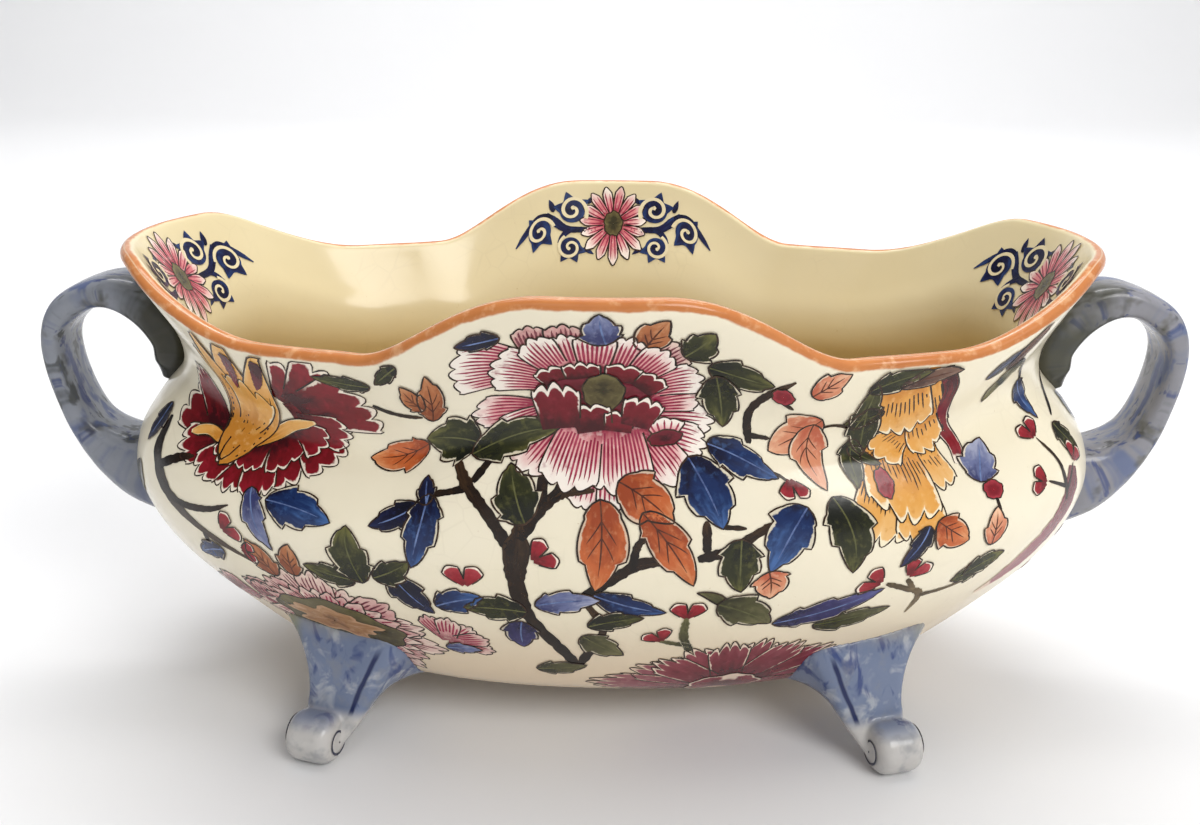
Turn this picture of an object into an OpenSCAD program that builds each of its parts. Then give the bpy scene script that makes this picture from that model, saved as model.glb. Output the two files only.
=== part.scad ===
// Oval footed serving bowl of glazed earthenware, with a wavy flared rim.
// The body is cast in one piece. Two strap handles and four scroll feet are
// modelled apart, luted on with slip and fired together with it.
// X runs along the bowl, Y towards its back and Z up. The origin is on the
// table, under the middle of the bowl.

/* [Body] */
// Length over the belly
belly_length = 393; // [370:1:420]
// Depth over the belly, front to back
belly_depth = 203; // [190:1:220]
// Thickness of the fired wall
wall = 6; // [4:0.5:8]
// How square the plan is, where 2 is an ellipse
plan_power = 2.2; // [2:0.05:2.6]

/* [Rim] */
// Height of the rim where it dips, between a crest and an end
rim_low = 168; // [162:1:174]
// Height of the crest in the middle of each long side
rim_crest = 194; // [186:1:204]
// Height of the rim at both ends
rim_end = 190; // [182:1:198]
// How far the crests lean outwards, as a share of the depth
crest_flare = 0.17; // [0:0.01:0.2]

/* [Handles] */
// Width of the strap, front to back
strap_width = 26; // [20:1:30]
// Thickness of the strap at its outermost point
strap_thickness = 9.5; // [7.5:0.5:12]

/* [Feet] */
// Radius of the rolled toe
toe_radius = 10; // [9:0.25:11.5]
// Length of the rolled toe
toe_length = 19; // [15:0.5:22]
// How far the toe stands from the middle along the bowl
toe_x = 112; // [100:1:118]
// How far the toe stands from the middle, front to back
toe_y = 82; // [76:1:88]
// Angle by which the broad face of a foot turns outwards
foot_turn = 16; // [0:1:25]
// Angle along which a foot splays from the body
foot_splay = 35; // [20:1:45]

/* [Hidden] */

glaze_cream = "#f1e8cf";
sponged_blue = "#8b95ad";
sponged_pale = "#b3bccb";

half_length = belly_length / 2;
half_depth = belly_depth / 2;
lip = wall / 2;
bite = 0.6;          // how deep a luted piece sits in the wall
wave_from = 85;      // height above which the wall follows the wavy rim
flare_from = 110;    // height above which the crests lean outwards
full_height = 185;   // height of the plain profile below

// Where the rim changes, as shares of the way round from an end to a crest
end_holds = 0.24;    // the raised end stays level up to here
end_falls = 0.37;    // and comes down over this share
crest_starts = 0.745;
crest_rises = 0.215;
lean_starts = 0.7;   // the crests begin to lean outwards
end_blunting = 0.025;  // share by which the very ends of the rim are cut short
blunt_from = 0.8;    // cosine of the angle at which that begins

// Profile of the body: share of the half length or depth, share of the height
profile = [
    [0.425, 0.088], [0.560, 0.098], [0.705, 0.153], [0.836, 0.270],
    [0.949, 0.400], [1.000, 0.519], [0.990, 0.611], [0.944, 0.692],
    [0.893, 0.762], [0.900, 0.832], [0.943, 0.908], [1.000, 1.000]
];
top_row = len(profile) - 1;
belly_row = 5;

angle_step = 0.2;    // steps over which the wall's own directions are taken
row_step = 0.02;
path_step = 0.05;
halvings = 16;

around = 84;         // facets round the body
outside_rows = 24;
inside_rows = 18;
lip_rows = 5;

// Strap of a handle in the plane y = 0: x, z, half thickness and half width,
// the last two as shares of the strap's own
strap_path = [
    [181, 84, 3.40, 1.25], [198.5, 91.5, 3.25, 1.20], [210, 98, 2.30, 1.10],
    [219.5, 108, 1.45, 1.00], [225, 120.5, 1.10, 1.00], [228.6, 137, 1.00, 1.00],
    [228.2, 150, 1.05, 1.00], [222.5, 160, 1.25, 1.00], [211, 166.5, 1.25, 1.00],
    [199, 167, 1.65, 1.02], [187, 160.5, 1.95, 1.05], [180.5, 148.5, 1.70, 1.02],
    [180.5, 138.5, 1.60, 0.90], [183, 130.5, 0.85, 0.50]
];
strap_steps = 32;
strap_sides = 20;
strap_power = 3.4;

// Foot above its waist, from the waist to the wall
waist_height = 20;
waist_half_width = 13.3;
shoulder_half_width = 27;
waist_thickness = 16;
shoulder_thickness = 42;
waist_setback = 6.5;
shoulder_setback = 15.6;
waist_shift = 3.3;   // how far the waist stands inwards of the toe
hollow_shift = 8;    // what the inner flank gains between waist and wall
setback_power = 0.8; // how soon each of these grows from waist to wall
width_power = 1.1;
thickness_power = 0.75;
foot_rows = 8;
foot_sides = 24;
foot_power = 6;
toe_drop = 0.25;     // depth of the flat ground on the toe
toe_edge = 5;        // rounding of the toe's two ends
toe_facets = 64;

// Curve through every point of p, where u runs from 0 to the last index
function spline(p, u) =
    let (n = len(p) - 1, i = max(0, min(n - 1, floor(u))), f = u - i,
         b = p[i], c = p[i + 1],
         a = i == 0 ? 2 * b - c : p[i - 1],
         d = i == n - 1 ? 2 * c - b : p[i + 2])
    (2 * b + (c - a) * f + (2 * a - 5 * b + 4 * c - d) * f * f
        + (3 * b - a - 3 * c + d) * f * f * f) / 2;

// Step from 0 to 1 with no corner at either end
function ease(t) = let (c = min(1, max(0, t))) c * c * (3 - 2 * c);

// 0 at the ends of the bowl, 1 at its two crests
function round_to_crest(angle) = atan2(abs(sin(angle)), abs(cos(angle))) / 90;

// Height of the rim round the bowl: crest, dip, then the raised end
function rim_height(angle) =
    let (t = round_to_crest(angle))
    rim_low + (rim_crest - rim_low) * ease((t - crest_starts) / crest_rises)
        + (rim_end - rim_low) * (1 - ease((t - end_holds) / end_falls));

function flare(angle) =
    crest_flare * ease((round_to_crest(angle) - lean_starts) / (1 - lean_starts));

// The ends of the rim are a little blunter than the belly below them
function blunt(angle) =
    1 - end_blunting * ease((abs(cos(angle)) - blunt_from) / (1 - blunt_from));

function powered(v, e) = sign(v) * pow(abs(v), e);

// Point on the outside of the body, by angle and by row of the profile
function outside(angle, row) =
    let (p = spline(profile, row), z = p.y * full_height,
         wave = ease((z - wave_from) / (full_height - wave_from)),
         lean = ease((z - flare_from) / (full_height - flare_from)),
         k = p.x * (1 + flare(angle) * lean),
         squash = lean * (blunt(angle) - 1) + 1)
    [half_length * k * squash * powered(cos(angle), 2 / plan_power),
     half_depth * k * powered(sin(angle), 2 / plan_power),
     z + (rim_height(angle) - lip - full_height) * wave];

function unit(v) = v / norm(v);
function along_wall(angle, row) =
    unit(outside(angle, row + row_step) - outside(angle, row - row_step));
function out_of_wall(angle, row) =
    unit(cross(outside(angle + angle_step, row) - outside(angle - angle_step, row),
               along_wall(angle, row)));

// One level ring of points, each of them moved along the wall's own directions
function body_ring(row, off, up) = [
    for (i = [0 : around - 1])
        let (angle = 360 * i / around)
        outside(angle, row) + off * out_of_wall(angle, row)
            + up * along_wall(angle, row)
];

// Row of the profile at a height, by halving
function row_at(angle, z, lo = 0, hi = top_row, n = halvings) =
    n == 0 ? (lo + hi) / 2 :
    let (m = (lo + hi) / 2)
    outside(angle, m).z < z ? row_at(angle, z, m, hi, n - 1)
                            : row_at(angle, z, lo, m, n - 1);

// Angle at which the outside reaches a distance y from the long axis
function angle_at(y, row) =
    let (s = min(1, abs(y) / (half_depth * spline(profile, row).x)))
    asin(pow(s, plan_power / 2));

// x of the outside of an end, at a given y and z
function end_x(y, z) =
    let (first = angle_at(y, row_at(0, z)), angle = angle_at(y, row_at(first, z)))
    outside(angle, row_at(angle, z)).x;

// z of the underside, at a given x and y
function share_row(share, lo = 0, hi = belly_row, n = halvings) =
    n == 0 ? (lo + hi) / 2 :
    let (m = (lo + hi) / 2)
    spline(profile, m).x < share ? share_row(share, m, hi, n - 1)
                                 : share_row(share, lo, m, n - 1);
function under_z(x, y) =
    let (share = pow(pow(abs(x) / half_length, plan_power)
                     + pow(abs(y) / half_depth, plan_power), 1 / plan_power))
    spline(profile, share_row(share)).y * full_height;

// Points of a rounded rectangle of two half sizes
function rounded_ring(half_x, half_y, power, count) = [
    for (i = [0 : count - 1])
        let (t = 360 * i / count, c = cos(t), s = sin(t),
             r = pow(pow(abs(c) / half_x, power) + pow(abs(s) / half_y, power),
                     -1 / power))
        [r * c, r * s]
];

function sum(v, i = 0) = i == len(v) ? 0 : v[i] + sum(v, i + 1);
function middle(points) =
    [for (k = [0 : 2]) sum([for (p = points) p[k]]) / len(points)];

// Closed skin over a row of rings, with a fan over each end
module skin(rings) {
    n = len(rings[0]);
    m = len(rings);
    points = concat([for (r = rings) each r], [middle(rings[0]), middle(rings[m - 1])]);
    sides = [
        for (k = [0 : m - 2], i = [0 : n - 1])
            let (a = k * n + i, b = k * n + (i + 1) % n)
            each [[a, a + n, b + n], [a, b + n, b]]
    ];
    first = [for (i = [0 : n - 1]) [m * n, i, (i + 1) % n]];
    last = [for (i = [0 : n - 1])
        [m * n + 1, (m - 1) * n + (i + 1) % n, (m - 1) * n + i]];
    polyhedron(points, concat(sides, first, last), convexity = 8);
}

module body() {
    skin([
        for (k = [0 : outside_rows]) body_ring(top_row * k / outside_rows, 0, 0),
        for (k = [1 : lip_rows])
            let (t = 180 * k / (lip_rows + 1))
            body_ring(top_row, lip * (cos(t) - 1), lip * sin(t)),
        for (k = [inside_rows : -1 : 0]) body_ring(top_row * k / inside_rows, -wall, 0)
    ]);
}

// Ring of the strap at a place u on its path, pressed against the end of the body
function strap_ring(u) =
    let (p = spline(strap_path, u),
         ahead = spline(strap_path, min(len(strap_path) - 1, u + path_step)),
         behind = spline(strap_path, max(0, u - path_step)),
         along = unit([ahead.x - behind.x, ahead.y - behind.y]),
         half_thick = strap_thickness / 2 * p[2],
         half_wide = strap_width / 2 * p[3])
    [for (q = rounded_ring(half_thick, half_wide, strap_power, strap_sides))
        let (x = p.x - along.y * q.x, z = p.y + along.x * q.x)
        [max(x, end_x(q.y, z) - bite), q.y, z]];

module handle() {
    last = len(strap_path) - 1;
    skin([for (k = [strap_steps : -1 : 0]) strap_ring(last * k / strap_steps)]);
}

toe_height = toe_radius - toe_drop;
face_right = [cos(foot_turn), sin(foot_turn)];
face_out = [sin(foot_turn), -cos(foot_turn)];
splay_out = [sin(foot_splay), -cos(foot_splay)];

// Plan of the foot at one height, set back and shifted from the toe
function foot_plan(setback, shift, half_width, thickness) =
    let (front = [toe_x, -toe_y] - setback * splay_out - shift * face_right,
         centre = front - face_out * thickness / 2)
    [for (q = rounded_ring(half_width, thickness / 2, foot_power, foot_sides))
        centre + q.x * face_right - q.y * face_out];

function blend(a, b, t) = a + (b - a) * t;

// Ring of the foot, where t is 0 at the waist and 1 against the wall
function foot_ring(t) =
    let (setback = blend(waist_setback, shoulder_setback, pow(t, setback_power)),
         shift = (1 - t) * (waist_shift + hollow_shift * t),
         half_width = blend(waist_half_width, shoulder_half_width, pow(t, width_power)),
         thickness = blend(waist_thickness, shoulder_thickness, pow(t, thickness_power)),
         plan = foot_plan(setback, shift, half_width, thickness))
    [for (q = plan) [q.x, q.y,
        blend(waist_height, under_z(q.x, q.y) + bite, t)]];

// Below the waist the stem narrows and sinks into the rolled toe: how far it is
// set back and shifted, its half width, its thickness and its height
ankle = [
    [0.5, 0.5, 8.4, 6, 4.5], [2, 1.6, 9.8, 9.5, 9], [4.5, 2.6, 11.6, 13.5, 14.5]
];
function ankle_ring(row) =
    [for (q = foot_plan(row[0], row[1], row[2], row[3])) [q.x, q.y, row[4]]];

module toe_outline() {
    half = toe_length / 2;
    translate([0, -half + toe_edge]) square([toe_radius, toe_length - 2 * toe_edge]);
    translate([0, -half]) square([toe_radius - toe_edge, toe_length]);
    for (side = [-1, 1])
        intersection() {
            translate([toe_radius - toe_edge, side * (half - toe_edge)])
                circle(toe_edge, $fn = toe_facets);
            translate([0, -half]) square([toe_radius, toe_length]);
        }
}

module foot() {
    difference() {
        union() {
            skin([for (row = ankle) ankle_ring(row),
                for (k = [0 : foot_rows]) foot_ring(k / foot_rows)]);
            translate([toe_x, -toe_y, toe_height])
                rotate([0, 0, foot_turn]) rotate([0, 90, 0])
                    rotate_extrude($fn = toe_facets) toe_outline();
        }
        translate([toe_x - toe_length, -toe_y - toe_length, -toe_length])
            cube([2 * toe_length, 2 * toe_length, toe_length]);
    }
}

module bowl() color(glaze_cream) body();
module handle_left() color(sponged_blue) mirror([1, 0, 0]) handle();
module handle_right() color(sponged_blue) handle();
module foot_front_left() color(sponged_pale) mirror([1, 0, 0]) foot();
module foot_front_right() color(sponged_pale) foot();
module foot_back_left() color(sponged_pale) mirror([1, 0, 0]) mirror([0, 1, 0]) foot();
module foot_back_right() color(sponged_pale) mirror([0, 1, 0]) foot();

bowl();
handle_left();
handle_right();
foot_front_left();
foot_front_right();
foot_back_left();
foot_back_right();
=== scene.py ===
"""Looks of a painted oval serving bowl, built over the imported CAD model.

The body, handles and feet are fine skins of the same shape as the CAD solids.
The painting is drawn on the body as thin coloured patches and brush lines that
follow its surface. Lengths are in millimetres until a mesh is made. The floor,
the lights and the scale of the noises are in metres.
"""
import math
import random

import bpy
import numpy as np
from mathutils import Matrix


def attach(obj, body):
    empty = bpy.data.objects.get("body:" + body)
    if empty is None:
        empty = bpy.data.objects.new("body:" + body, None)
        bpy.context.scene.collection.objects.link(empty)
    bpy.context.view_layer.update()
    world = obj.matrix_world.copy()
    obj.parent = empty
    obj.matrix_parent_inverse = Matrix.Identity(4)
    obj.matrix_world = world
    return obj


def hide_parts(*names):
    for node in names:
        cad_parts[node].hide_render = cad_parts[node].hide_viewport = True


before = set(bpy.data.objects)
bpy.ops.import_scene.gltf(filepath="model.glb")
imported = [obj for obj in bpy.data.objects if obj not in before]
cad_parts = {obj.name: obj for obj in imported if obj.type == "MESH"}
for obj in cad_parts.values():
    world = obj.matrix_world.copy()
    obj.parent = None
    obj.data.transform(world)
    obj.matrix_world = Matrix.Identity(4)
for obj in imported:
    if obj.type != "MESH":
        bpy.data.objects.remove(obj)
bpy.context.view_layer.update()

MM = 0.001
TAU = 2 * math.pi

# ---------------------------------------------------------------- body shape
HALF_LENGTH = 196.5
HALF_DEPTH = 101.5
WALL = 6.0
LIP = WALL / 2
BITE = 0.6
PLAN_POWER = 2.2
RIM_LOW, RIM_CREST, RIM_END = 168.0, 194.0, 190.0
CREST_FLARE = 0.17
FULL_HEIGHT = 185.0
WAVE_FROM, FLARE_FROM = 85.0, 110.0
PROFILE = np.array([
    (0.425, 0.088), (0.560, 0.098), (0.705, 0.153), (0.836, 0.270),
    (0.949, 0.400), (1.000, 0.519), (0.990, 0.611), (0.944, 0.692),
    (0.893, 0.762), (0.900, 0.832), (0.943, 0.908), (1.000, 1.000)])
TOP_ROW = len(PROFILE) - 1
BELLY_ROW = 5


def spline(points, u):
    """Curve through every point, where u runs from 0 to the last index."""
    n = len(points) - 1
    u = np.asarray(u, float)
    i = np.clip(np.floor(u).astype(int), 0, n - 1)
    f = (u - i)[..., None]
    ends = 2 * points[0] - points[1], 2 * points[-1] - points[-2]
    all_points = np.vstack([ends[0], points, ends[1]])
    a, b, c, d = (all_points[i + k] for k in range(4))
    return (2 * b + (c - a) * f + (2 * a - 5 * b + 4 * c - d) * f ** 2
            + (3 * b - a - 3 * c + d) * f ** 3) / 2


def ease(t):
    t = np.clip(t, 0, 1)
    return t * t * (3 - 2 * t)


def powered(v, e):
    return np.sign(v) * np.abs(v) ** e


def round_to_crest(angle):
    """0 at the ends of the bowl, 1 at its two crests."""
    return np.arctan2(abs(np.sin(angle)), abs(np.cos(angle))) / (math.pi / 2)


def rim_height(angle):
    t = round_to_crest(angle)
    return (RIM_LOW + (RIM_CREST - RIM_LOW) * ease((t - 0.745) / 0.215)
            + (RIM_END - RIM_LOW) * (1 - ease((t - 0.24) / 0.37)))


def outside(angle, row):
    """Points on the outside of the body, by angle and by row of the profile."""
    p = spline(PROFILE, row)
    z = p[..., 1] * FULL_HEIGHT
    wave = ease((z - WAVE_FROM) / (FULL_HEIGHT - WAVE_FROM))
    lean = ease((z - FLARE_FROM) / (FULL_HEIGHT - FLARE_FROM))
    flare = CREST_FLARE * ease((round_to_crest(angle) - 0.7) / 0.3)
    blunt = -0.025 * ease((abs(np.cos(angle)) - 0.8) / 0.2)
    k = p[..., 0] * (1 + flare * lean)
    e = 2 / PLAN_POWER
    return np.stack([HALF_LENGTH * k * (1 + lean * blunt) * powered(np.cos(angle), e),
                     HALF_DEPTH * k * powered(np.sin(angle), e),
                     z + (rim_height(angle) - LIP - FULL_HEIGHT) * wave], -1)


def unit(v):
    return v / np.linalg.norm(v, axis=-1, keepdims=True)


def along_wall(angle, row, step=0.02):
    return unit(outside(angle, row + step) - outside(angle, row - step))


def out_of_wall(angle, row, step=0.004):
    around = outside(angle + step, row) - outside(angle - step, row)
    return unit(np.cross(around, along_wall(angle, row)))


# A place on the wall is (s, t): s runs round the belly from the middle of the
# front towards the right handle, t runs up the wall from the edge of the base.
_angles = np.linspace(-math.pi / 2, 1.5 * math.pi, 3601)
_belly = outside(_angles, np.full(_angles.shape, float(BELLY_ROW)))
_round = np.concatenate([[0], np.cumsum(np.linalg.norm(np.diff(_belly, axis=0), axis=1))])
_rows = np.linspace(0, TOP_ROW, 1101)
_front = outside(np.full(_rows.shape, -math.pi / 2), _rows)
_climb = np.concatenate([[0], np.cumsum(np.linalg.norm(np.diff(_front, axis=0), axis=1))])
GIRTH = _round[-1]
CLIMB = _climb[-1]


def angle_of(s):
    return np.interp(np.mod(s, GIRTH), _round, _angles)


def row_of(t):
    return np.interp(t, _climb, _rows)


LOWEST, HIGHEST = 2.0, CLIMB - 0.2   # the painting stays between these climbs
LEAST_STRETCH = 0.3                  # keeps a motif whole where the wall closes in


class WallMap:
    """Both faces of the wall on a fine grid of places, to look them up quickly."""

    def __init__(self, step=1.0):
        self.s = np.linspace(0, GIRTH, int(GIRTH / step) + 1)
        self.t = np.linspace(0, CLIMB, int(CLIMB / step) + 1)
        s, t = np.meshgrid(self.s, self.t, indexing="ij")
        angle, row = angle_of(s), row_of(t)
        angle[-1] = 1.5 * math.pi
        self.normal = out_of_wall(angle, row)
        outer = outside(angle, row)
        self.face = {False: outer, True: outer - WALL * self.normal}
        self.stretch = {}
        for inner, points in self.face.items():
            round_, up = np.gradient(points, self.s, self.t, axis=(0, 1))
            self.stretch[inner] = np.stack([np.linalg.norm(round_, axis=-1),
                                            np.linalg.norm(up, axis=-1)], -1)

    def look(self, table, s, t):
        """Blends the four grid values round each place."""
        a = np.mod(s, GIRTH) / GIRTH * (len(self.s) - 1)
        b = np.clip(t, 0, CLIMB) / CLIMB * (len(self.t) - 1)
        i = np.minimum(a.astype(int), len(self.s) - 2)
        j = np.minimum(b.astype(int), len(self.t) - 2)
        a, b = (a - i)[..., None], (b - j)[..., None]
        return ((table[i, j] * (1 - a) + table[i + 1, j] * a) * (1 - b)
                + (table[i, j + 1] * (1 - a) + table[i + 1, j + 1] * a) * b)

    def point(self, s, t, lift, inner):
        """Points lift above the outer or the inner face of the wall."""
        way = -lift if inner else lift
        return (self.look(self.face[inner], s, t)
                + way * unit(self.look(self.normal, s, t)))

    def stretch_at(self, spot, inner):
        return self.look(self.stretch[inner], np.array(spot[0]), np.array(spot[1]))

    def spread(self, spot, uv, inner):
        """Local millimetres (u right, v up) about a place (s, t) to places."""
        uv = np.asarray(uv, float)
        way = -1.0 if inner else 1.0
        up = self.stretch_at(spot, inner)[1]
        t = np.clip(spot[1] + uv[..., 1] / max(up, LEAST_STRETCH), LOWEST, HIGHEST)
        side = self.look(self.stretch[inner], np.full(t.shape, spot[0]), t)[..., 0]
        return np.stack([spot[0] + way * uv[..., 0] / np.maximum(side, LEAST_STRETCH), t], -1)


wall_map = WallMap()


# ------------------------------------------------------------------- meshes
def put(name, data):
    """Adds an object to the scene."""
    made = bpy.data.objects.new(name, data)
    bpy.context.collection.objects.link(made)
    return made


def add_mesh(name, points, faces, materials, picks=None, tags=None):
    """Makes a smooth mesh piece from points in mm. tags are named vectors per point."""
    mesh = bpy.data.meshes.new(name)
    mesh.from_pydata((np.asarray(points) * MM).tolist(), [], [tuple(f) for f in faces])
    for material in materials:
        mesh.materials.append(material)
    if picks is not None:
        mesh.polygons.foreach_set("material_index", np.asarray(picks, np.int32))
    for tag, values in tags.items():
        made = mesh.attributes.new(tag, "FLOAT_VECTOR", "POINT")
        made.data.foreach_set("vector", np.asarray(values, np.float32).ravel())
    mesh.polygons.foreach_set("use_smooth", [True] * len(mesh.polygons))
    mesh.update()
    piece = put(name, mesh)
    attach(piece, "root")
    return piece


def capped(rings):
    """The points of closed rings, then the middle of the first and of the last."""
    rings = np.asarray(rings)
    return np.concatenate([rings.reshape(-1, 3), [rings[0].mean(0), rings[-1].mean(0)]])


def skin(rings):
    """Points and faces of a skin over closed rings, with a fan over each end."""
    count = len(rings[0])
    i = np.arange(count)
    j = (i + 1) % count
    last = (len(rings) - 1) * count
    faces = []
    for a in range(0, last, count):
        faces += list(zip(a + i, a + j, a + count + j, a + count + i))
    faces += list(zip([last + count] * count, j, i))
    faces += list(zip([last + count + 1] * count, last + i, last + j))
    return capped(rings), faces


# ---------------------------------------------------------------- materials
def rgb(code):
    """Linear colour from a hex code."""
    parts = [int(code[i:i + 2], 16) / 255 for i in (1, 3, 5)]
    return tuple(c / 12.92 if c <= 0.04045 else ((c + 0.055) / 1.055) ** 2.4
                 for c in parts) + (1.0,)


class Glaze:
    """A glossy glaze material and a few short ways to add nodes to it."""

    def __init__(self, name, roughness=0.25, coat=0.12):
        self.material = bpy.data.materials.new(name)
        self.material.use_nodes = True
        self.tree = self.material.node_tree
        self.shader = self.tree.nodes["Principled BSDF"]
        self.shader.inputs["Roughness"].default_value = roughness
        self.shader.inputs["Coat Weight"].default_value = coat
        self.shader.inputs["Coat Roughness"].default_value = 0.08
        self.shader.inputs["Specular IOR Level"].default_value = 0.3
        self.coordinates = self.node("ShaderNodeTexCoord").outputs["Object"]

    def node(self, kind, inputs=None, **settings):
        made = self.tree.nodes.new(kind)
        for key, value in settings.items():
            setattr(made, key, value)
        for key, value in (inputs or {}).items():
            if isinstance(value, bpy.types.NodeSocket):
                self.tree.links.new(value, made.inputs[key])
            else:
                made.inputs[key].default_value = value
        return made

    def tag(self, name):
        """The three parts of a named vector kept in the mesh."""
        made = self.node("ShaderNodeAttribute", attribute_name=name)
        return self.node("ShaderNodeSeparateXYZ", {0: made.outputs["Vector"]}).outputs

    def noise(self, size, detail=3.0, stretch=(1, 1, 1), seed=0.0, warp=0.0):
        """Noise from 0 to 1 whose blots are about size millimetres."""
        at = self.node("ShaderNodeMapping", {"Vector": self.coordinates, "Scale": stretch,
                                             "Location": (seed, seed * 0.7, -seed)})
        return self.node("ShaderNodeTexNoise", {
            "Vector": at.outputs[0], "Scale": 1 / (size * MM), "Detail": detail,
            "Roughness": 0.55, "Distortion": warp}).outputs["Fac"]

    def wash(self, along, across, other, long=1.3, wide=1.1):
        """Brush streaks that follow a petal, a leaf or a strap."""
        at = self.node("ShaderNodeCombineXYZ", {
            0: self.times(along, long), 1: self.times(across, wide),
            2: self.times(other, 37.0)})
        return self.node("ShaderNodeTexNoise", {
            "Vector": at.outputs[0], "Scale": 1.6, "Detail": 3.0,
            "Roughness": 0.6, "Distortion": 0.3}).outputs["Fac"]

    def sum(self, kind, a, b=0.0, c=0.0):
        return self.node("ShaderNodeMath", {0: a, 1: b, 2: c}, operation=kind).outputs[0]

    def times(self, a, b):
        return self.sum("MULTIPLY", a, b)

    def fused(self, a, b, c):
        """a times b, plus c."""
        return self.sum("MULTIPLY_ADD", a, b, c)

    def step(self, value, low, high, out_low=0.0, out_high=1.0):
        """out_low at low, out_high at high, smooth between."""
        return self.node("ShaderNodeMapRange", {
            "Value": value, "From Min": low, "From Max": high,
            "To Min": out_low, "To Max": out_high},
            interpolation_type="SMOOTHSTEP").outputs[0]

    def mix(self, amount, a, b):
        """Colour a where the amount is 0, b where it is 1. Either may be a hex code."""
        a, b = (rgb(colour) if isinstance(colour, str) else colour for colour in (a, b))
        return self.node("ShaderNodeMix", {0: amount, 6: a, 7: b},
                         data_type="RGBA").outputs[2]

    def blots(self, colour, other, size, low, high, seed, amount=1.0, **more):
        """Lays blots of another colour over a colour."""
        where = self.step(self.noise(size, seed=seed, **more), low, high, 0, amount)
        return self.mix(where, colour, other)

    def finish(self, colour, bump=0.05, bump_size=9.0, roughness=None):
        self.tree.links.new(colour, self.shader.inputs["Base Color"])
        if roughness is not None:
            self.tree.links.new(roughness, self.shader.inputs["Roughness"])
        made = self.node("ShaderNodeBump", {
            "Height": self.noise(bump_size, detail=2.0, seed=3.1),
            "Strength": bump, "Distance": 0.002})
        self.tree.links.new(made.outputs[0], self.shader.inputs["Normal"])
        self.tree.links.new(made.outputs[0], self.shader.inputs["Coat Normal"])
        return self.material


BARE_GLAZE = "#efe4c8"


def body_glaze():
    """Cream glaze with an orange band painted on the rim. The outside turns tan towards its
    bottom as painted shade and warm reflection, and the inside is a tan cream that darkens
    towards its floor as painted shade.

    drop is the distance from the top of the lip in mm, and inner is 1 on the inside.
    """
    g = Glaze("cream_glaze")
    _, drop, inner = g.tag("place")
    height = g.node("ShaderNodeSeparateXYZ", {0: g.coordinates}).outputs[2]
    cream = g.mix(g.noise(60, seed=1.0), "#f5edd8", "#efe4c6")
    # painted shade and warm reflection: the outside turns tan towards its bottom
    low = g.step(height, 0.085, 0.030)
    cream = g.mix(g.times(low, 0.6), cream, "#ddbf9c")
    inside = g.mix(g.noise(70, seed=4.0), "#e6d8b3", "#dccca0")
    # painted shade: the inside darkens towards the floor of the bowl
    inside = g.mix(g.step(height, 0.175, 0.080, 0, 0.8), inside, "#c2a977")
    ground = g.mix(inner, cream, inside)
    cells = g.node("ShaderNodeTexVoronoi", {"Vector": g.coordinates, "Scale": 95.0},
                   feature="DISTANCE_TO_EDGE").outputs[0]
    craze = g.step(cells, 0.05, 0.0, 0, 0.06)
    craze = g.times(craze, g.step(g.noise(45, seed=8.0), 0.45, 0.7))
    ground = g.mix(craze, ground, "#8a7550")
    ground = g.blots(ground, "#b99a6a", 2.2, 0.73, 0.80, 6.0, 0.5)
    orange = g.mix(g.noise(11, seed=2.0), "#d28a50", "#b86c3a")
    orange = g.blots(orange, "#e6b384", 5.0, 0.52, 0.72, 5.0, 0.6)
    edge = g.fused(g.noise(9, seed=7.0), 2.2, drop)
    band = g.step(edge, 5.8, 4.8)
    inner_band = g.step(edge, 4.4, 3.2)
    band = g.sum("MAXIMUM", g.times(band, g.sum("SUBTRACT", 1.0, inner)),
                 g.times(inner_band, inner))
    colour = g.mix(band, ground, orange)
    roughness = g.step(g.noise(30, seed=9.0), 0.3, 0.7, 0.16, 0.26)
    return g.finish(colour, bump=0.06, bump_size=14.0, roughness=roughness)


def brushed(name, deep, mid, light, edge=None, edge_from=0.86, streak=0.9, reach=0.55,
            contour=0.0):
    """Brushed colour: deep at the base, light at the tip, with an optional pale edge.

    streak is how much the brush marks break up the fade, and reach is how far up the
    deep colour goes. A contour leaves ragged bare glaze between colour and outline.
    """
    g = Glaze(name)
    along, across, tone = g.tag("paint")
    wash = g.wash(along, across, tone)
    fade = g.fused(g.sum("SUBTRACT", wash, 0.5), 1.5 * streak, along)
    fade = g.fused(g.sum("SUBTRACT", tone, 0.5), 0.3, fade)
    colour = g.mix(g.step(fade, 0.05, reach), deep, mid)
    colour = g.mix(g.step(fade, reach, reach * 2.3), colour, light)
    colour = g.blots(colour, light, 3.0, 0.52, 0.75, 5.0, 0.4)
    colour = g.blots(colour, deep, 4.0, 0.54, 0.75, 6.0, 0.5)
    ragged = g.times(g.sum("SUBTRACT", g.noise(3.0, seed=2.0), 0.5), 0.30)
    side = g.sum("ADD", g.sum("ABSOLUTE", across), ragged)
    if contour:
        colour = g.mix(g.step(side, 0.84, 0.90, 0, contour), colour, BARE_GLAZE)
    if edge:
        tip = g.fused(ragged, 0.4, along)
        colour = g.mix(g.step(tip, edge_from, edge_from + 0.04), colour, edge)
        upper = g.step(along, 0.35, 0.6, 0, 0.9)
        colour = g.mix(g.times(g.step(side, 0.88, 0.93), upper), colour, edge)
    return g.finish(colour, bump=0.06, bump_size=6.0)


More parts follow.
